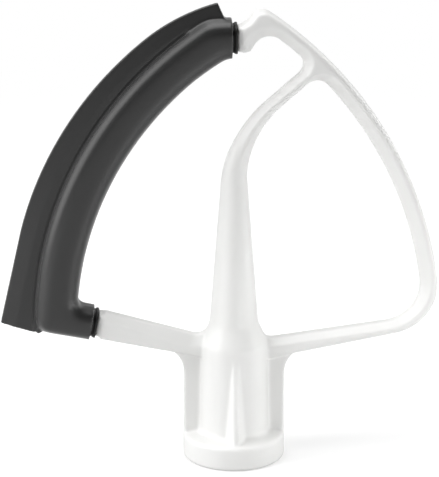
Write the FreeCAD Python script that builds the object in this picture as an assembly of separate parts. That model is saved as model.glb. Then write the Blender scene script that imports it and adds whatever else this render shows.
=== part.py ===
import FreeCAD, Part
import cmath
import math
import os

# Flat beater with a flexible scraper edge for a stand mixer, standing on its hub.
# Millimetres. The hub's axis is Z and its mouth is at z = 0; the blade lies in the plane y = 0.

# Hub: a flanged foot, a tube with webs and gussets, and the socket for the drive shaft
foot_radius = 17.0
foot_height = 8.0
foot_edge_radius = 0.9
foot_rim_radius = 1.2
foot_top_slope = 14.0
tube_radius = 11.7
tube_draft = 0.6
tube_root_radius = 1.5
shoulder_height = 39.5
shoulder_radius = 5.0
web_thickness = 3.2
web_inset = 0.15
web_flare_radius = 8.5
gusset_edge_width = 1.6
gusset_reach = 15.3
gusset_top = 37.5
gusset_flank = 33.0
bore_radius = 6.15
bore_depth = 35.0
bore_end_flat = 1.5
bore_lead_in = 0.8
pin_slot_width = 5.2
pin_slot_depth = 3.0
pin_slot_rise = 17.0
pin_slot_turn = 70.0
pin_slot_catch = 2.0

# Stem: a round cone that bends over into the rib
stem_base_radius = 8.1
stem_base_height = 47.0
stem_top_radius = 4.45
stem_top_height = 95.0
stem_root_radius = 8.0
stem_bend_radius = 32.0
stem_end_width = 0.22
stem_end_depth = 0.4
stem_end_hold = 1.5
stem_inset = 0.4
rib_root_drop = 33.38
rib_slope = 41.2
rib_width = 4.45
bend_outer_radius = 42.0
bend_inner_radius = 34.0

# Blade section: deep along its crest and thin at its inner edges
blade_depth = 8.0
thin_edge = 3.0
outer_edge_radius = 1.4
loop_bevel = 4.0
upper_bevel = 3.6
hook_bevel = 4.0
lower_bevel = 2.3
rib_upper_bevel = 2.0
rib_lower_bevel = 1.75
stem_bevel = 3.2
arm_bevel_at_end = 2.2
arm_bevel_at_hub = 5.0

# Loop: the bowed bar on the right and the lower bar that carries it
loop_bow_radius = 132.6
loop_width = 5.7
upper_width = 5.2
loop_reach = 67.8
loop_reach_height = 59.5
loop_outer_corner = 17.0
loop_inner_corner = 12.8
loop_top_corner = 4.6
lower_top_root = 39.7
lower_top_slope = 7.65
lower_bottom_root = 32.7
lower_bottom_slope = 10.8
stem_corner = 4.8
rib_corner = 4.2

# Hooked tip and left arm, which hold the two ends of the edge
tip_seat_x = 1.0
tip_seat_height = 144.45
tip_end_height = 9.1
tip_head_rise = 8.95
tip_head_width = 7.88
tip_neck_slope = 28.0
tip_neck_width = 1.9
tip_face_slope = 55.0
tip_crown_radius = 4.0
tip_brow_radius = 2.0
tip_hollow_radius = 3.0
hook_lip = 2.3
hook_lip_radius = 1.0
hook_slope = 58.7
hook_corner = 5.6
arm_root_height = 38.7
arm_length = 46.4
arm_tilt = 11.0
arm_end_height = 9.2
arm_top_slope = 15.9
arm_bottom_slope = 11.8
neck_length = 1.7
neck_step = 0.55

# Scraper edge: a rigid carrier in a soft sleeve with a thin fin
edge_bow_radius = 109.8
edge_tip_gap = 4.1
edge_tip_drop = 6.5
edge_elbow_gap = 6.2
edge_elbow_rise = 8.5
sleeve_width = 13.8
sleeve_depth = 12.0
sleeve_round = 4.3
sleeve_tip_height = 12.0
sleeve_foot_height = 11.4
sleeve_shoulder_radius = 9.0
sleeve_throat_radius = 5.0
sleeve_heel_radius = 5.0
sleeve_elbow_radius = 2.2
collar_length = 1.8
skin = 1.3
spigot_height = 5.0
spigot_depth = 4.4
spigot_length = 9.0
spigot_play = 0.12
fin_thickness = 3.0
fin_lip_thickness = 1.6
fin_taper_width = 5.0
fin_bow_radius = 121.8
fin_shoulder_width = 6.8
fin_shoulder_angle = 129.0
fin_waist_width = 8.66
fin_waist_angle = 165.0
fin_flank_lean = 12.8
fin_top_radius = 63.0
fin_top_rise = 11.8
fin_top_slope = 17.0
fin_end_gap = 6.4
fin_end_slope = 68.0
fin_end_hollow = 2.5
fin_heel_drop = 0.9
fin_heel_reach = 3.0
fin_heel_slope = 17.0

# Straight facets in each rounded edge
hub_facets = 3
blade_facets = 2
sleeve_facets = 3
core_facets = 1

overlap = 1.0
x_axis = FreeCAD.Vector(1, 0, 0)
y_axis = FreeCAD.Vector(0, 1, 0)
z_axis = FreeCAD.Vector(0, 0, 1)
origin = FreeCAD.Vector(0, 0, 0)


# Points in the blade's plane are complex numbers, x + z j.
def place(point, y):
    return FreeCAD.Vector(point.real, y, point.imag)


def direction(degrees):
    return cmath.exp(1j * math.radians(degrees))


# A straight track through a point, walked along its heading
class Straight:
    def __init__(self, point, heading):
        self.point = point
        self.way = heading / abs(heading)
        self.guide = point

    def left(self, shift):
        return Straight(self.point + 1j * self.way * shift, self.way)

    def foot(self, point):
        return self.point + self.way * ((point - self.point) / self.way).real

    def heading(self, point):
        return self.way

    def edge(self, start, end, y):
        return Part.LineSegment(place(start, y), place(end, y)).toShape()


# A round track, walked anticlockwise for turn 1 and clockwise for turn -1, and used near its guide point
class Round:
    def __init__(self, centre, radius, turn, guide):
        self.centre = centre
        self.radius = radius
        self.turn = turn
        self.guide = guide

    def left(self, shift):
        return Round(self.centre, self.radius - self.turn * shift, self.turn, self.guide)

    def back(self):
        return Round(self.centre, self.radius, -self.turn, self.guide)

    def foot(self, point):
        return self.centre + (point - self.centre) / abs(point - self.centre) * self.radius

    def heading(self, point):
        return 1j * self.turn * (point - self.centre) / abs(point - self.centre)

    def between(self, start, end, share):
        sweep = cmath.phase((end - self.centre) / (start - self.centre)) * self.turn % math.tau
        return self.centre + (start - self.centre) * cmath.exp(1j * self.turn * sweep * share)

    def edge(self, start, end, y):
        middle = self.between(start, end, 0.5)
        return Part.Arc(place(start, y), place(middle, y), place(end, y)).toShape()


# A round track that bows from start to end, walked anticlockwise
def bow(start, end, radius):
    middle = (start + end) / 2
    half = (end - start) / 2
    centre = middle + 1j * half / abs(half) * math.sqrt(radius ** 2 - abs(half) ** 2)
    return Round(centre, radius, 1, middle)


# The crossing of two tracks that lies nearest to a point
def meet(first, second, near):
    if isinstance(first, Straight) and isinstance(second, Straight):
        gap = second.point - first.point
        return first.point + first.way * (gap / second.way).imag / (first.way / second.way).imag
    if isinstance(second, Straight):
        return meet(second, first, near)
    if isinstance(first, Straight):
        middle = first.foot(second.centre)
        reach = first.way * math.sqrt(second.radius ** 2 - abs(middle - second.centre) ** 2)
    else:
        span = second.centre - first.centre
        along = (abs(span) ** 2 + first.radius ** 2 - second.radius ** 2) / (2 * abs(span))
        middle = first.centre + span / abs(span) * along
        reach = 1j * span / abs(span) * math.sqrt(first.radius ** 2 - along ** 2)
    return min(middle - reach, middle + reach, key=lambda point: abs(point - near))


# A closed outline: each track runs on to the next through a rounded corner of the radius beside it.
# With chords given, each corner is drawn as that many straight facets.
def outline(tracks, y, chords=0):
    corners = []
    for (track, radius), (following, _) in zip(tracks, tracks[1:] + tracks[:1]):
        point = meet(track, following, (track.guide + following.guide) / 2)
        if not radius:
            corners.append((point, point, None))
            continue
        turn = math.copysign(1, (following.heading(point) / track.heading(point)).imag)
        centre = meet(track.left(turn * radius), following.left(turn * radius), point)
        corners.append((track.foot(centre), following.foot(centre), Round(centre, radius, turn, centre)))
    edges = []
    for index, (track, _) in enumerate(tracks):
        leave, enter, arc = corners[index]
        edges.append(track.edge(corners[index - 1][1], leave, y))
        if arc and chords:
            points = [arc.between(leave, enter, step / chords) for step in range(chords)] + [enter]
            edges += [Straight(near, far - near).edge(near, far, y) for near, far in zip(points, points[1:])]
        elif arc:
            edges.append(arc.edge(leave, enter, y))
    return Part.Wire(edges)


def prism(tracks, thickness):
    face = Part.Face(outline(tracks, -thickness / 2))
    return face.extrude(y_axis * thickness)


# A slab whose outline draws in over a quarter round at both faces; tracks(inset) gives the outline
def rounded_slab(tracks, depth, radius, steps):
    front = []
    for step in range(steps + 1):
        angle = math.pi / 2 * (1 - step / steps)
        inset = radius * (1 - math.cos(angle))
        front.append((inset, radius * (1 - math.sin(angle)) - depth / 2))
    levels = front + [(inset, -y) for inset, y in reversed(front)]
    return Part.makeLoft([outline(tracks(inset), y) for inset, y in levels], True, True)


# A bar of rounded section along a heading in the blade's plane
def rounded_bar(start, heading, length, height, depth, radius):
    bar = Part.makeBox(length, depth, height, FreeCAD.Vector(0, -depth / 2, -height / 2))
    bar = bar.makeFillet(radius, [edge for edge in bar.Edges if abs(edge.tangentAt(0).x) > 0.5])
    bar.rotate(origin, y_axis, -math.degrees(cmath.phase(heading)))
    bar.translate(place(start, 0))
    return bar


def mirrored(shape, normal):
    return shape.mirror(origin, normal)


# Places that the pieces share
stem_way = complex(stem_top_radius - stem_base_radius, stem_top_height - stem_base_height)
stem_edge = Straight(complex(stem_base_radius, stem_base_height), stem_way)
rib_root_height = tip_seat_height - rib_root_drop
bend_angle = 90 - rib_slope
bend_height = rib_root_height - stem_bend_radius * math.tan(math.radians(bend_angle / 2))
bend_radius = meet(stem_edge, Straight(1j * bend_height, 1), 0).real
loop_hip = complex(loop_reach, loop_reach_height)
tip_seat = complex(tip_seat_x, tip_seat_height)
tip_end = tip_seat + neck_length
tip_lip = tip_end - 1j * tip_end_height / 2
tip_crown = tip_end + complex(tip_head_width, tip_head_rise)
loop_bow = bow(loop_hip, tip_crown, loop_bow_radius)
arm_way = direction(180 - arm_tilt)
arm_up = arm_way / 1j
arm_seat = 1j * arm_root_height + arm_way * arm_length
arm_end = arm_seat - arm_way * neck_length
arm_top_corner = arm_end + arm_up * arm_end_height / 2
arm_bottom_corner = arm_end - arm_up * arm_end_height / 2
edge_tip = tip_seat - complex(edge_tip_gap, edge_tip_drop)
edge_elbow = arm_seat + complex(-edge_elbow_gap, edge_elbow_rise)
edge_bow = bow(edge_tip, edge_elbow, edge_bow_radius)
core_depth = sleeve_depth - 2 * skin
core_round = sleeve_round - skin
neck_depth = blade_depth - 2 * neck_step


# Edges of the blade, at level 0 on the thin edge and at level 1 on the crest
def rib_left(level=0):
    return Straight(1j * rib_root_height, -direction(rib_slope)).left(rib_upper_bevel * level - rib_width / 2)


def rib_right(level=0):
    return Straight(1j * rib_root_height, -direction(rib_slope)).left(rib_width / 2 - rib_lower_bevel * level)


def stem_left(level=0):
    return Straight(-stem_edge.point.conjugate(), stem_way.conjugate()).left(stem_inset + stem_bevel * level)


def stem_right(level=0):
    return Straight(stem_edge.point, -stem_way).left(-stem_inset - stem_bevel * level)


def upper_inner(level=0):
    return loop_bow.back().left(upper_bevel * level - upper_width)


def hook_rise(level=0):
    return Straight(tip_lip + hook_lip, direction(hook_slope)).left(hook_bevel * level)


def arm_top(level=0):
    far = arm_top_corner - arm_up * arm_bevel_at_end * level
    near = arm_top_corner + direction(-arm_top_slope) * (arm_length - tube_radius)
    near -= arm_up * arm_bevel_at_hub * level
    return Straight(near, far - near)


def lower_top(level=0):
    return Straight(1j * lower_top_root, direction(lower_top_slope)).left(-lower_bevel * level)


def loop_inner(level=0):
    return loop_bow.left(loop_width - loop_bevel * level)


lower_bottom = Straight(1j * lower_bottom_root, direction(lower_bottom_slope))
arm_bottom = Straight(arm_bottom_corner, direction(-arm_bottom_slope))


# The blade's outer outline, with its two ends run on past their faces
def blade_tracks(inset):
    head_face = tip_end + tip_neck_width * (1 + 1j * math.tan(math.radians(tip_neck_slope)))
    head_face += 1j * tip_end_height / 2
    neck_top = tip_end + 1j * tip_end_height / 2
    return [
        (lower_bottom.left(inset), loop_outer_corner - inset),
        (loop_bow.left(inset), tip_crown_radius - inset),
        (Straight(tip_crown, -1).left(inset), tip_brow_radius - inset),
        (Straight(head_face, direction(180 + tip_face_slope)).left(inset), tip_hollow_radius + inset),
        (Straight(neck_top, direction(180 + tip_neck_slope)).left(inset), 0),
        (Straight(tip_end - overlap, -1j), 0),
        (Straight(tip_lip, 1), hook_lip_radius),
        (hook_rise(), hook_corner),
        (upper_inner(), rib_corner),
        (rib_left(), bend_outer_radius),
        (stem_left(), stem_corner),
        (arm_top(), 0),
        (Straight(arm_end + arm_way * overlap, -arm_up), 0),
        (arm_bottom.left(inset), 0),
    ]


# The opening in the loop, and the side of the blade that faces the scraper edge
def loop_tracks(level):
    return [
        (lower_top(level), loop_inner_corner + loop_bevel * level),
        (loop_inner(level), loop_top_corner + rib_lower_bevel * level),
        (rib_right(level), bend_inner_radius + rib_lower_bevel * level),
        (stem_right(level), stem_corner + lower_bevel * level),
    ]


def mouth_tracks(level):
    arm_far = arm_end + arm_way * arm_length
    return [
        (hook_rise(level), hook_corner + upper_bevel * level),
        (upper_inner(level), rib_corner + rib_upper_bevel * level),
        (rib_left(level), bend_outer_radius - rib_upper_bevel * level),
        (stem_left(level), stem_corner + arm_bevel_at_hub * level),
        (arm_top(level), 0),
        (Straight(arm_far, tip_lip - 1j * arm_length - arm_far), 0),
    ]


# A cutter that bevels the front of the blade from a thin edge up to the crest
def bevel_cutter(tracks):
    rim = thin_edge / 2
    crest = blade_depth / 2
    level = (crest + overlap - rim) / (crest - rim)
    return Part.makeLoft([outline(tracks(0), -rim), outline(tracks(level), -crest - overlap)], True, True)


def make_blade():
    blade = rounded_slab(blade_tracks, blade_depth, outer_edge_radius, blade_facets)
    blade = blade.cut(prism(loop_tracks(0), blade_depth + overlap))
    for tracks in (loop_tracks, mouth_tracks):
        cutter = bevel_cutter(tracks)
        blade = blade.cut(cutter).cut(mirrored(cutter, y_axis))
    for end, way in ((tip_end, -1), (arm_end, arm_way)):
        waste = rounded_bar(end, way, 3 * overlap, 2 * arm_end_height, 2 * blade_depth, overlap)
        blade = blade.cut(waste)
    return blade


def make_hub():
    tracks = [
        (Straight(0, 1), foot_edge_radius),
        (Straight(foot_radius, 1j), foot_rim_radius),
        (Straight(complex(foot_radius, foot_height), direction(180 - foot_top_slope)), tube_root_radius),
        (Straight(complex(tube_radius, foot_height), direction(90 + tube_draft)), shoulder_radius),
        (Straight(complex(tube_radius, shoulder_height),
                  stem_edge.point - complex(tube_radius, shoulder_height)), stem_root_radius),
        (stem_edge, 0),
        (Straight(1j * bend_height, -1), 0),
        (Straight(0, -1j), 0),
    ]
    return Part.Face(outline(tracks, 0, hub_facets)).revolve(origin, z_axis, 360)


# The stem's upper end follows the bend and runs out inside the rib
def make_stem_end():
    sections = [Part.Wire(Part.Circle(place(1j * bend_height, 0), z_axis, bend_radius).toShape())]
    for share in (1 / 3, 2 / 3, 1):
        outward = direction(-bend_angle * share)
        centre = 1j * bend_height + stem_bend_radius * (1 - outward)
        width = bend_radius * (1 - (1 - stem_end_width) * share)
        depth = bend_radius * (1 - (1 - stem_end_depth) * share ** stem_end_hold)
        ellipse = Part.Ellipse(place(centre, depth), place(centre + outward * width, 0), place(centre, 0))
        sections.append(Part.Wire(ellipse.toShape()))
    return Part.makeLoft(sections, True, False)


# A web from the tube out to the foot's rim, flaring into the underside of an arm
def make_web(underside):
    reach = foot_radius - web_inset
    inner_end = underside.foot(2 * foot_radius) + 1j * thin_edge / 2
    tracks = [
        (Straight(1j * (foot_height - overlap), 1), 0),
        (Straight(reach, 1j), web_flare_radius),
        (underside.left(overlap / 2), 0),
        (Straight(inner_end, 1j * (shoulder_height - overlap) - inner_end), 0),
        (Straight(0, -1j), 0),
    ]
    return prism(tracks, web_thickness)


# A gusset that leans from the foot up to the top of the tube
def make_gusset():
    low = foot_height - overlap
    top_reach = tube_radius - (gusset_top - foot_height) * math.tan(math.radians(tube_draft))
    lean = (gusset_reach - top_reach) / (gusset_top - foot_height)
    root = tube_radius / 2
    sections = []
    for height, reach in ((low, gusset_reach + lean * overlap), (gusset_top, top_reach)):
        half = gusset_edge_width / 2
        wide = half + root * math.tan(math.radians(gusset_flank))
        corners = ((-half, -reach), (half, -reach), (wide, root - reach), (-wide, root - reach))
        points = [FreeCAD.Vector(x, y, height) for x, y in corners]
        sections.append(Part.makePolygon(points + points[:1]))
    return Part.makeLoft(sections, True, True)


# The shaft's socket: a blind bore with a bayonet slot for the shaft's cross pin
def make_socket():
    socket = Part.makeCylinder(bore_radius, bore_depth + overlap, origin - z_axis * overlap)
    point = (bore_radius - bore_end_flat) / 2
    socket = socket.fuse(Part.makeCone(bore_radius, bore_end_flat, point, z_axis * bore_depth))
    mouth = bore_radius + bore_lead_in + overlap
    socket = socket.fuse(Part.makeCone(mouth, bore_radius, bore_lead_in + overlap, z_axis * -overlap))
    reach = bore_radius + pin_slot_depth
    entry = Part.makeBox(reach, pin_slot_width, pin_slot_rise + overlap,
                         FreeCAD.Vector(0, -pin_slot_width / 2, -overlap))
    entry = entry.common(Part.makeCylinder(reach, pin_slot_rise + overlap, z_axis * -overlap))
    catch_height = pin_slot_width + pin_slot_catch
    catch = Part.makeBox(reach, pin_slot_width, catch_height,
                         FreeCAD.Vector(0, -pin_slot_width / 2, pin_slot_rise - catch_height))
    catch = catch.common(Part.makeCylinder(reach, pin_slot_rise))
    catch.rotate(origin, z_axis, pin_slot_turn)
    turn_height = z_axis * (pin_slot_rise - pin_slot_width)
    turn = Part.makeCylinder(reach, pin_slot_width, turn_height, z_axis, pin_slot_turn)
    return socket.fuse([entry, turn, catch])


ends = ((tip_seat, -1, sleeve_tip_height), (arm_seat, arm_way, sleeve_foot_height))


# A spigot that runs from behind a seat into the carrier, with play all round for its socket
def make_spigot(seat, way, root, play):
    return rounded_bar(seat - way * root, way, root + spigot_length + play,
                       spigot_height + 2 * play, spigot_depth + 2 * play, overlap)


def make_frame():
    frame = make_hub().fuse([make_stem_end(), make_blade()])
    arm_mirrored = Straight(-arm_bottom.point.conjugate(), direction(arm_bottom_slope))
    frame = frame.fuse([make_web(lower_bottom), mirrored(make_web(arm_mirrored), x_axis)])
    gusset = make_gusset()
    frame = frame.fuse([gusset, mirrored(gusset, y_axis)])
    for seat, way, height in ends:
        root = neck_length + overlap
        neck_height = height - 2 * skin - 2 * neck_step
        neck = rounded_bar(seat - way * root, way, root, neck_height, neck_depth, overlap)
        frame = frame.fuse([neck, make_spigot(seat, way, root, 0)])
    return frame.cut(make_socket()).removeSplitter()


# The outline that the carrier and the sleeve share, drawn in by an inset; the ends stand off the seats
def edge_tracks(inset, stand_off):
    half_tip = sleeve_tip_height / 2 - inset
    half_foot = sleeve_foot_height / 2 - inset
    return [
        (Straight(tip_seat + 1j * half_tip, -1), sleeve_shoulder_radius - inset),
        (edge_bow.left(inset - sleeve_width), sleeve_heel_radius - inset),
        (Straight(arm_seat - arm_up * half_foot, -arm_way), 0),
        (Straight(arm_seat + arm_way * stand_off, arm_up), 0),
        (Straight(arm_seat + arm_up * half_foot, arm_way), sleeve_elbow_radius + inset),
        (edge_bow.back().left(inset), sleeve_throat_radius + inset),
        (Straight(tip_seat - 1j * half_tip, 1), 0),
        (Straight(tip_seat - stand_off, 1j), 0),
    ]


def sleeve_tracks(inset):
    return edge_tracks(inset, collar_length)


def core_tracks(inset):
    return edge_tracks(skin + inset, 0)


def make_core():
    return rounded_slab(core_tracks, core_depth, core_round, core_facets)


def make_carrier():
    carrier = make_core()
    for seat, way, _ in ends:
        carrier = carrier.cut(make_spigot(seat, way, overlap, spigot_play))
    return carrier


# A point on the fin's outer edge, seen from the centre of the sleeve's bow
def fin_edge(width, angle):
    return edge_bow.centre + (edge_bow_radius + sleeve_width + width) * direction(angle)


def fin_tracks(taper):
    shoulder = fin_edge(fin_shoulder_width, fin_shoulder_angle)
    waist = fin_edge(fin_waist_width, fin_waist_angle)
    top = Straight(tip_seat - fin_end_gap + 1j * fin_top_rise, direction(180 + fin_top_slope))
    flank = Straight(waist, direction(270 - fin_flank_lean))
    sleeve_foot = Straight(arm_seat - arm_up * sleeve_foot_height / 2, arm_way)
    heel = meet(edge_bow.left(-sleeve_width), sleeve_foot, sleeve_foot.guide)
    return [
        (top.left(taper), fin_top_radius - taper),
        (bow(shoulder, waist, fin_bow_radius).left(taper), 0),
        (flank.left(taper), 0),
        (Straight(heel - 1j * fin_heel_drop, direction(-fin_heel_slope)), 0),
        (Straight(heel + fin_heel_reach, arm_up - arm_way), 0),
        (edge_bow.back().left(sleeve_width / 2), 0),
        (Straight(tip_seat - collar_length - overlap / 2, 1j), 0),
    ]


# The fin stops short of the sleeve's end in a hollow sweep
def fin_stop_tracks():
    sweep = tip_seat - fin_end_gap + 1j * fin_top_rise
    return [
        (Straight(tip_seat + 1j * (sleeve_tip_height - overlap) / 2, 1), 0),
        (Straight(tip_seat, 1j), 0),
        (Straight(tip_seat + 2j * fin_top_rise, -1), 0),
        (Straight(sweep, direction(-fin_end_slope)), fin_end_hollow),
    ]


def make_fin():
    levels = ((fin_taper_width, -fin_thickness / 2), (0, -fin_lip_thickness / 2),
              (0, fin_lip_thickness / 2), (fin_taper_width, fin_thickness / 2))
    fin = Part.makeLoft([outline(fin_tracks(taper), y) for taper, y in levels], True, True)
    return fin.cut(prism(fin_stop_tracks(), sleeve_depth))


def make_edge():
    sleeve = rounded_slab(sleeve_tracks, sleeve_depth, sleeve_round, sleeve_facets)
    return sleeve.fuse(make_fin()).cut(make_core())


os.makedirs("parts", exist_ok=True)
make_frame().exportStep("parts/beater_frame.step")
make_carrier().exportStep("parts/edge_carrier.step")
make_edge().exportStep("parts/flex_edge.step")
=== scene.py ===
import math

import bpy
from mathutils import Matrix, Vector


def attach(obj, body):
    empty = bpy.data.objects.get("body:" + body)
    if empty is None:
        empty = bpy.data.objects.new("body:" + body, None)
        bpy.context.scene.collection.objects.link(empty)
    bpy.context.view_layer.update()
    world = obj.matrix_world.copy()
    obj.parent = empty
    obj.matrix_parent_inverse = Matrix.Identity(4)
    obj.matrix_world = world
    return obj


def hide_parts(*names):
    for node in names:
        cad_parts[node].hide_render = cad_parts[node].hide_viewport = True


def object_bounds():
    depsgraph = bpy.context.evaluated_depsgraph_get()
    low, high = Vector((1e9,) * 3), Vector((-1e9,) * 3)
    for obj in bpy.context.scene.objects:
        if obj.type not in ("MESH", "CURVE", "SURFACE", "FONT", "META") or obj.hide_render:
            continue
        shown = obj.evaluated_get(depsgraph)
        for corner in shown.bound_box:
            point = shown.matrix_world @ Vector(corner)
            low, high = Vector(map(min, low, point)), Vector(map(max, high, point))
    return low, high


# flat beater for a stand mixer: coated casting, black carrier, soft grey scraper edge
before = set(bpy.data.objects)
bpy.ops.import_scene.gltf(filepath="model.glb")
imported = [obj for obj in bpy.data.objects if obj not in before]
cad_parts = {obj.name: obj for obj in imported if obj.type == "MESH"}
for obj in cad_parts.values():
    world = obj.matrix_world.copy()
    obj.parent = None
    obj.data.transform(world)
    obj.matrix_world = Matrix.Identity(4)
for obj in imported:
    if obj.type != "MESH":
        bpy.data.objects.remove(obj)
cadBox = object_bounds()
mm = 0.001
print("frame loaded:", ", ".join(sorted(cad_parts)))


def clamp(value, low=0.0, high=1.0):
    return min(max(value, low), high)


# sRGB hex to the linear colour that shaders take
def hexColour(code):
    channels = [int(code[place:place + 2], 16) / 255 for place in (1, 3, 5)]
    linear = [c / 12.92 if c <= 0.04045 else ((c + 0.055) / 1.055) ** 2.4 for c in channels]
    return (*linear, 1.0)


# one node with its settings; an input that is a socket is linked, any other is set
def addNode(tree, kind, inputs, **settings):
    node = tree.nodes.new(kind)
    for name, value in settings.items():
        setattr(node, name, value)
    for name, value in inputs.items():
        if isinstance(value, bpy.types.NodeSocket):
            tree.links.new(value, node.inputs[name])
        else:
            node.inputs[name].default_value = value
    return node


def newMaterial(name):
    material = bpy.data.materials.new(name)
    material.use_nodes = True
    material.node_tree.nodes.clear()
    return material, material.node_tree


mixA, mixB, mixResult = 6, 7, 2  # the Mix node's colour sockets, by number as names repeat


# a tone that drifts between two colours, in patches of a real size
def patchyTone(tree, place, patch, detail, colour, otherColour):
    patches = addNode(tree, "ShaderNodeTexNoise", {
        "Vector": place.outputs["Object"], "Scale": 1 / patch, "Detail": detail})
    tone = addNode(tree, "ShaderNodeMix", {
        "Factor": patches.outputs["Fac"], mixA: hexColour(colour),
        mixB: hexColour(otherColour)}, data_type="RGBA")
    return tone.outputs[mixResult]


# a fine uneven relief, in grains of a real size and depth
def fineRelief(tree, place, grain, detail, depth, strength):
    grains = addNode(tree, "ShaderNodeTexNoise", {
        "Vector": place.outputs["Object"], "Scale": 1 / grain, "Detail": detail})
    relief = addNode(tree, "ShaderNodeBump", {
        "Height": grains.outputs["Fac"], "Strength": strength, "Distance": depth})
    return relief.outputs["Normal"]


def applyModifier(piece, kind, **settings):
    modifier = piece.modifiers.new(kind.title(), kind)
    for name, value in settings.items():
        setattr(modifier, name, value)
    bpy.context.view_layer.objects.active = piece
    bpy.ops.object.modifier_apply(modifier=modifier.name)


mergeDistance = 0.01 * mm


# a copy of a CAD node's mesh, merged, to model on
def copyNode(nodeName, pieceName):
    bpy.ops.object.select_all(action="DESELECT")
    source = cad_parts[nodeName]
    source.select_set(True)
    bpy.context.view_layer.objects.active = source
    bpy.ops.object.duplicate(linked=False)
    piece = bpy.context.active_object
    piece.name = pieceName
    piece.data.name = pieceName
    piece.parent = None
    for key in list(piece.keys()):  # the copy is a piece of its own
        del piece[key]
    piece.data.materials.clear()
    bpy.ops.object.mode_set(mode="EDIT")
    bpy.ops.mesh.select_all(action="SELECT")
    bpy.ops.mesh.remove_doubles(threshold=mergeDistance)
    bpy.ops.object.mode_set(mode="OBJECT")
    return piece


smoothFactor = 0.5


# melts the solid's hard edges into the soft blends of a cast or moulded surface; softShare
# says how much of the soft passes each point takes
def softenSolid(piece, settings, softShare=None):
    applyModifier(piece, "REMESH", mode="VOXEL", voxel_size=settings["voxel"], adaptivity=0.0)
    applyModifier(piece, "SMOOTH", factor=smoothFactor, iterations=settings["evenPasses"])
    if softShare:
        group = piece.vertex_groups.new(name="soft")
        for vertex in piece.data.vertices:
            group.add([vertex.index], clamp(softShare(vertex.co)), "REPLACE")
        applyModifier(piece, "SMOOTH", factor=smoothFactor, iterations=settings["softPasses"],
                      vertex_group=group.name)
    bpy.ops.object.select_all(action="DESELECT")
    piece.select_set(True)
    bpy.ops.object.shade_smooth()


def finishPiece(piece, node, material):
    piece.data.materials.append(material)
    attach(piece, "root")
    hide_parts(node)
    print(piece.name, "has", len(piece.data.polygons), "faces")


# die-cast aluminium, sprayed white and baked: bright and even, satin, with the faint
# orange peel of a sprayed coat, and painted shade that greys it where it turns away
castCoat = {
    "colour": "#F0F0EF",
    "thinColour": "#E9E9E7",
    "mottle": 22 * mm,
    "mottleDetail": 3.0,
    # painted shade: the grey that the coat takes on where it turns away from the view
    "paintedRimShadeColour": "#CFCFCD",
    "paintedRimShadeBlend": 0.5,
    "paintedRimShadePower": 3.0,
    "roughness": 0.36,
    "ior": 1.5,
    "peel": 1.6 * mm,
    "peelDetail": 1.0,
    "peelDepth": 0.02 * mm,
    "peelStrength": 0.5,
}


def makeCastCoat():
    material, tree = newMaterial("sprayedCoatOnCastAluminium")
    place = addNode(tree, "ShaderNodeTexCoord", {})
    tone = patchyTone(tree, place, castCoat["mottle"], castCoat["mottleDetail"],
                      castCoat["colour"], castCoat["thinColour"])
    # painted shade: the colour greys towards the rim colour where the surface turns away from the
    # view
    slant = addNode(tree, "ShaderNodeLayerWeight", {"Blend": castCoat["paintedRimShadeBlend"]})
    paintedRimShade = addNode(tree, "ShaderNodeMath", {
        0: slant.outputs["Facing"], 1: castCoat["paintedRimShadePower"]}, operation="POWER")
    shaded = addNode(tree, "ShaderNodeMix", {
        "Factor": paintedRimShade.outputs["Value"], mixA: tone,
        mixB: hexColour(castCoat["paintedRimShadeColour"])}, data_type="RGBA")
    peel = fineRelief(tree, place, castCoat["peel"], castCoat["peelDetail"],
                      castCoat["peelDepth"], castCoat["peelStrength"])
    surface = addNode(tree, "ShaderNodeBsdfPrincipled", {
        "Base Color": shaded.outputs[mixResult], "Roughness": castCoat["roughness"],
        "IOR": castCoat["ior"], "Normal": peel})
    addNode(tree, "ShaderNodeOutputMaterial", {"Surface": surface.outputs["BSDF"]})
    return material


# silicone rubber, compression moulded in a blasted mould: dark grey, matte, with a soft
# sheen where it turns away
softEdgeRubber = {
    "colour": "#222222",
    "bloomColour": "#282828",
    "bloom": 18 * mm,
    "bloomDetail": 4.0,
    "roughness": 0.36,
    "ior": 1.46,
    "sheen": 0.3,
    "sheenRoughness": 0.4,
    "grain": 0.7 * mm,  # blasted grain is nearer 0.1 mm, drawn coarser to show
    "grainDetail": 2.0,
    "grainDepth": 0.015 * mm,
    "grainStrength": 0.4,
}


def makeSoftEdgeRubber():
    material, tree = newMaterial("mouldedSiliconeRubber")
    place = addNode(tree, "ShaderNodeTexCoord", {})
    tone = patchyTone(tree, place, softEdgeRubber["bloom"], softEdgeRubber["bloomDetail"],
                      softEdgeRubber["colour"], softEdgeRubber["bloomColour"])
    grain = fineRelief(tree, place, softEdgeRubber["grain"], softEdgeRubber["grainDetail"],
                       softEdgeRubber["grainDepth"], softEdgeRubber["grainStrength"])
    surface = addNode(tree, "ShaderNodeBsdfPrincipled", {
        "Base Color": tone, "Roughness": softEdgeRubber["roughness"],
        "IOR": softEdgeRubber["ior"], "Sheen Weight": softEdgeRubber["sheen"],
        "Sheen Roughness": softEdgeRubber["sheenRoughness"], "Normal": grain})
    addNode(tree, "ShaderNodeOutputMaterial", {"Surface": surface.outputs["BSDF"]})
    return material


# glass-filled nylon, injection moulded: black and satin, with faint streaks of flow
carrierNylon = {
    "colour": "#060606",
    "streakColour": "#0B0B0B",
    "streak": 2.5 * mm,
    "streakDetail": 3.0,
    "roughness": 0.5,
    "ior": 1.53,
    "shine": 0.3,
}


def makeCarrierNylon():
    material, tree = newMaterial("mouldedBlackNylon")
    place = addNode(tree, "ShaderNodeTexCoord", {})
    tone = patchyTone(tree, place, carrierNylon["streak"], carrierNylon["streakDetail"],
                      carrierNylon["colour"], carrierNylon["streakColour"])
    surface = addNode(tree, "ShaderNodeBsdfPrincipled", {
        "Base Color": tone, "Roughness": carrierNylon["roughness"],
        "IOR": carrierNylon["ior"], "Specular IOR Level": carrierNylon["shine"]})
    addNode(tree, "ShaderNodeOutputMaterial", {"Surface": surface.outputs["BSDF"]})
    return material


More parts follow.
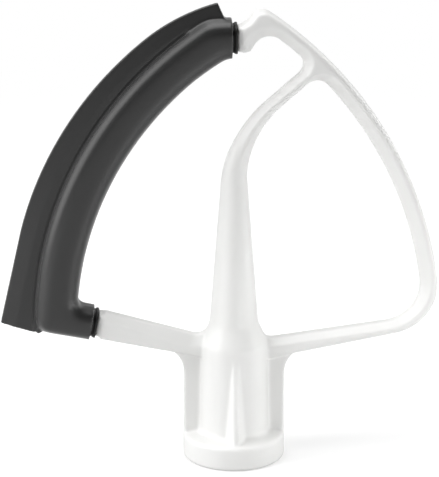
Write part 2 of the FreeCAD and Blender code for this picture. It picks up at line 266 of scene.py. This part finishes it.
# where the edge plugs onto the casting, at its tip and at its arm: each seat's place, the way
# into the edge and the collar's height
tipSeat = {"place": Vector((1.0, 0.0, 144.45)) * mm, "way": math.radians(180), "height": 9.8 * mm}
armSeat = {"place": Vector((-45.55, 0.0, 47.55)) * mm, "way": math.radians(169), "height": 9.3 * mm}
seats = [tipSeat, armSeat]
collarLength = 1.8 * mm


def seatHeading(seat):
    return Vector((math.cos(seat["way"]), 0.0, math.sin(seat["way"])))


def seatDistance(point):
    return min((point - seat["place"]).length for seat in seats)


castBeater = {
    "voxel": 0.47 * mm,
    "evenPasses": 2,
    "softPasses": 4,
    "crispReach": 3 * mm,
    "fade": 3 * mm,
}


# the casting is soft all over, apart from its necks at the seats
def castShare(point):
    return (seatDistance(point) - castBeater["crispReach"]) / castBeater["fade"]


beater = copyNode("beater_frame", "castBeater")
softenSolid(beater, castBeater, castShare)
finishPiece(beater, "beater_frame", makeCastCoat())

softEdge = {
    "voxel": 0.41 * mm,
    "evenPasses": 2,
    "softPasses": 110,
    "finReach": 1.5 * mm,
    "finFade": 0.6 * mm,
    "endZone": 16 * mm,
    "endFade": 1.5 * mm,
    "bowCentre": Vector((57.63, 0.0, 46.48)) * mm,
    "outerRadius": 123.6 * mm,
    "crease": 0.3 * mm,
    "creaseReach": 0.9 * mm,
    "creaseHeight": 2.6 * mm,
    "creaseDepth": 0.55 * mm,
    "creaseDraw": 0.3 * mm,
    "swell": 0.65 * mm,
    "swellLength": 14 * mm,
    "swellHeight": 6 * mm,
}


# the sleeve's round runs smooth; the fin, its crease and the sleeve's ends stay crisp
def edgeShare(point):
    share = (abs(point.y) - softEdge["finReach"]) / softEdge["finFade"]
    for seat in seats:
        offset = point - seat["place"]
        if offset.length < softEdge["endZone"]:
            inside = offset.dot(seatHeading(seat)) - collarLength
            share = min(share, inside / softEdge["endFade"])
    return share


# swells the sleeve's end at a seat above and below, and leaves the fin's top where it is
def swellEnd(piece, seat):
    for vertex in piece.data.vertices:
        offset = vertex.co - seat["place"]
        share = 1 - offset.dot(seatHeading(seat)) / softEdge["swellLength"]
        if share > 0:
            level = offset.z / softEdge["swellHeight"]
            rise = clamp(level, -1.0) * clamp(2 - level)  # dies out at twice the height
            vertex.co.z += softEdge["swell"] * min(share, 1.0) * rise


# sharpens the crease where the fin leaves the sleeve's outer wall, clear of the ends
def sharpenCrease(piece):
    for vertex in piece.data.vertices:
        spoke = vertex.co - softEdge["bowCentre"]
        spoke.y = 0.0
        outside = spoke.length - softEdge["outerRadius"]
        share = min(1 - abs(outside - softEdge["crease"]) / softEdge["creaseReach"],
                    (seatDistance(vertex.co) - softEdge["endZone"]) / softEdge["endFade"])
        if share > 0 and abs(vertex.co.y) < softEdge["creaseHeight"]:
            vertex.co -= spoke.normalized() * softEdge["creaseDraw"] * share
            vertex.co.y -= math.copysign(softEdge["creaseDepth"] * share, vertex.co.y)


edge = copyNode("flex_edge", "softEdge")
softenSolid(edge, softEdge, edgeShare)
swellEnd(edge, tipSeat)
sharpenCrease(edge)
finishPiece(edge, "flex_edge", makeSoftEdgeRubber())

edgeCarrier = {
    "voxel": 0.3 * mm,
    "evenPasses": 1,
    "flange": 0.9 * mm,
    "groove": 0.45 * mm,
    "depth": 9.4 * mm,
    "corner": 3 * mm,
    "cornerSteps": 6,
    "socketHeight": 5.24 * mm,
    "socketDepth": 4.64 * mm,
    "clear": 12 * mm,
    "lap": 0.4 * mm,
}
alongWay = 0.9  # cosine past which an edge counts as running along a seat's way


# a block that lies from one distance to another along a seat's way, its long edges rounded
def seatBlock(seat, near, far, height, depth, corner=0.0):
    bpy.ops.object.select_all(action="DESELECT")
    bpy.ops.mesh.primitive_cube_add(size=1.0)
    block = bpy.context.active_object
    heading = seatHeading(seat)
    middle = Matrix.Translation(seat["place"] + heading * (near + far) / 2)
    turn = Matrix.Rotation(-seat["way"], 4, "Y")
    size = Matrix.Diagonal((far - near, depth, height, 1.0))
    block.data.transform(middle @ turn @ size)
    if corner:
        weights = block.data.attributes.new("bevel_weight_edge", "FLOAT", "EDGE")
        for side in block.data.edges:
            start, end = (block.data.vertices[index].co for index in side.vertices)
            cosine = abs((end - start).normalized().dot(heading))
            weights.data[side.index].value = cosine > alongWay
        applyModifier(block, "BEVEL", limit_method="WEIGHT", width=corner,
                      segments=edgeCarrier["cornerSteps"])
    return block


def cutAway(piece, cutter):
    applyModifier(piece, "BOOLEAN", operation="DIFFERENCE", object=cutter, solver="EXACT")
    bpy.data.objects.remove(cutter)


# the carrier's end outside the sleeve: a flange on the seat and a groove behind it
def collarRings(seat):
    lap = edgeCarrier["lap"]
    lower = 2 * edgeCarrier["groove"]
    flange = seatBlock(seat, 0.0, edgeCarrier["flange"], seat["height"], edgeCarrier["depth"],
                       edgeCarrier["corner"])
    groove = seatBlock(seat, edgeCarrier["flange"] - lap, collarLength + lap,
                       seat["height"] - lower, edgeCarrier["depth"] - lower,
                       edgeCarrier["corner"] - edgeCarrier["groove"])
    for ring in (flange, groove):
        cutAway(ring, seatBlock(seat, -collarLength, 2 * collarLength,
                                edgeCarrier["socketHeight"], edgeCarrier["socketDepth"]))
    return [flange, groove]


carrier = copyNode("edge_carrier", "edgeCarrier")
for seat in seats:
    cutAway(carrier, seatBlock(seat, -edgeCarrier["lap"], collarLength, edgeCarrier["clear"],
                               edgeCarrier["clear"]))
rings = [ring for seat in seats for ring in collarRings(seat)]
bpy.ops.object.select_all(action="DESELECT")
for part in [carrier] + rings:
    part.select_set(True)
bpy.context.view_layer.objects.active = carrier
bpy.ops.object.join()
softenSolid(carrier, edgeCarrier)
finishPiece(carrier, "edge_carrier", makeCarrierNylon())


# 1 on the rays that a shiny or clear surface sends on
def mirroredRays(tree, path):
    mirrored = addNode(tree, "ShaderNodeMath", {
        0: path.outputs["Is Glossy Ray"], 1: path.outputs["Is Transmission Ray"]},
        operation="MAXIMUM")
    return mirrored.outputs["Value"]


whiteStrength = 1.0  # what the camera sees as white

# pale floor: white where the camera or a reflection sees it, with the shadow that the beater
# casts; further off, from near to far in metres, it runs out into the white background
floorSettings = {"size": 6.0, "colour": "#C8C8C8", "lift": 0.48, "near": 0.2, "far": 0.5}


def makeFloor():
    bpy.ops.object.select_all(action="DESELECT")
    bpy.ops.mesh.primitive_plane_add(size=floorSettings["size"], location=(0, 0, cadBox[0].z))
    floor = bpy.context.active_object
    floor.name = "floor"
    material, tree = newMaterial("paleFloor")
    path = addNode(tree, "ShaderNodeLightPath", {})
    seen = addNode(tree, "ShaderNodeMath", {
        0: path.outputs["Is Camera Ray"], 1: mirroredRays(tree, path)}, operation="MAXIMUM")
    lift = addNode(tree, "ShaderNodeMath", {
        0: seen.outputs["Value"], 1: floorSettings["lift"]}, operation="MULTIPLY")
    matte = addNode(tree, "ShaderNodeBsdfDiffuse", {"Color": hexColour(floorSettings["colour"])})
    glow = addNode(tree, "ShaderNodeEmission", {"Strength": lift.outputs["Value"]})
    both = addNode(tree, "ShaderNodeAddShader", {
        0: matte.outputs["BSDF"], 1: glow.outputs["Emission"]})
    place = addNode(tree, "ShaderNodeTexCoord", {})
    reach = addNode(tree, "ShaderNodeVectorMath", {0: place.outputs["Object"]}, operation="LENGTH")
    away = addNode(tree, "ShaderNodeMapRange", {
        "Value": reach.outputs["Value"], "From Min": floorSettings["near"],
        "From Max": floorSettings["far"]}, interpolation_type="SMOOTHSTEP")
    faded = addNode(tree, "ShaderNodeMath", {
        0: seen.outputs["Value"], 1: away.outputs["Result"]}, operation="MULTIPLY")
    white = addNode(tree, "ShaderNodeEmission", {"Strength": whiteStrength})
    shown = addNode(tree, "ShaderNodeMixShader", {
        0: faded.outputs["Value"], 1: both.outputs["Shader"], 2: white.outputs["Emission"]})
    addNode(tree, "ShaderNodeOutputMaterial", {"Surface": shown.outputs["Shader"]})
    floor.data.materials.append(material)


# white tent, open on the camera's side
tent = {"bright": 0.3, "front": 0.02, "frontFrom": -0.3, "frontTo": 0.3}


def makeTent():
    world = bpy.data.worlds.new("whiteTent")
    world.use_nodes = True
    tree = world.node_tree
    tree.nodes.clear()
    path = addNode(tree, "ShaderNodeLightPath", {})
    way = addNode(tree, "ShaderNodeTexCoord", {})
    split = addNode(tree, "ShaderNodeSeparateXYZ", {"Vector": way.outputs["Generated"]})
    side = addNode(tree, "ShaderNodeMapRange", {
        "Value": split.outputs["Y"], "From Min": tent["frontFrom"], "From Max": tent["frontTo"]},
        interpolation_type="SMOOTHSTEP")
    level = addNode(tree, "ShaderNodeMapRange", {
        "Value": side.outputs["Result"], "To Min": tent["front"], "To Max": tent["bright"]})
    walls = addNode(tree, "ShaderNodeBackground", {"Strength": level.outputs["Result"]})
    white = addNode(tree, "ShaderNodeBackground", {"Strength": whiteStrength})
    behind = addNode(tree, "ShaderNodeMath", {
        0: mirroredRays(tree, path), 1: side.outputs["Result"]}, operation="MULTIPLY")
    seen = addNode(tree, "ShaderNodeMath", {
        0: path.outputs["Is Camera Ray"], 1: behind.outputs["Value"]}, operation="MAXIMUM")
    shown = addNode(tree, "ShaderNodeMixShader", {
        0: seen.outputs["Value"], 1: walls.outputs["Background"], 2: white.outputs["Background"]})
    addNode(tree, "ShaderNodeOutputWorld", {"Surface": shown.outputs["Shader"]})
    bpy.context.scene.world = world


# soft boxes around the beater, and low strips that fill the shade at its foot; places and
# sizes in metres, power in watts
bladeMiddle = (0.0, 0.0, 0.08)
footMiddle = (0.0, 0.0, 0.0)
lamps = [
    {"name": "leftBox", "place": (-0.87, -0.15, 0.25), "aim": bladeMiddle,
     "size": (0.8, 0.6), "power": 5.1},
    {"name": "leftTopBox", "place": (-0.62, -0.15, 0.75), "aim": bladeMiddle,
     "size": (0.6, 0.6), "power": 4.2},
    {"name": "topBox", "place": (-0.1, -0.02, 1.05), "aim": bladeMiddle,
     "size": (0.8, 0.6), "power": 6.9},
    {"name": "rightBox", "place": (0.85, -0.15, 0.2), "aim": bladeMiddle,
     "size": (0.4, 0.4), "power": 1.4},
    {"name": "rightBackBox", "place": (0.7, 0.6, 0.4), "aim": bladeMiddle,
     "size": (0.6, 0.6), "power": 2.0},
    {"name": "lowRightFill", "place": (0.12, -0.16, 0.01), "aim": footMiddle,
     "size": (0.16, 0.02), "power": 0.105},
    {"name": "lowLeftFill", "place": (-0.2, -0.16, 0.015), "aim": footMiddle,
     "size": (0.2, 0.03), "power": 0.045},
    {"name": "lowSideFill", "place": (0.26, -0.03, 0.01), "aim": footMiddle,
     "size": (0.2, 0.02), "power": 0.15},
]


def makeLamps():
    for lamp in lamps:
        bpy.ops.object.light_add(type="AREA", location=lamp["place"])
        box = bpy.context.active_object
        box.name = lamp["name"]
        box.data.shape = "RECTANGLE"
        box.data.size, box.data.size_y = lamp["size"]
        box.data.energy = lamp["power"]
        box.visible_camera = False  # a lamp stays out of every picture
        aim = Vector(lamp["aim"]) - Vector(lamp["place"])
        box.rotation_euler = aim.to_track_quat("-Z", "Y").to_euler()


# the photograph's viewing angle
cameraSettings = {
    "target": Vector((-4.8, 0.0, 76.3)) * mm,
    "distance": 1.0,
    "azimuth": math.radians(-3.0),
    "elevation": math.radians(18.25),
    "lens": 228.7,
    "sensor": 36.0,
}


def makeCamera():
    azimuth, elevation = cameraSettings["azimuth"], cameraSettings["elevation"]
    back = Vector((math.sin(azimuth) * math.cos(elevation),
                   -math.cos(azimuth) * math.cos(elevation), math.sin(elevation)))
    bpy.ops.object.camera_add(location=cameraSettings["target"] + back * cameraSettings["distance"])
    camera = bpy.context.active_object
    camera.rotation_euler = (-back).to_track_quat("-Z", "Y").to_euler()
    camera.data.sensor_width = cameraSettings["sensor"]
    camera.data.lens = cameraSettings["lens"]
    bpy.context.scene.camera = camera


makeFloor()
makeTent()
makeLamps()
makeCamera()
bpy.context.scene.view_settings.view_transform = "Standard"
print("studio ready")
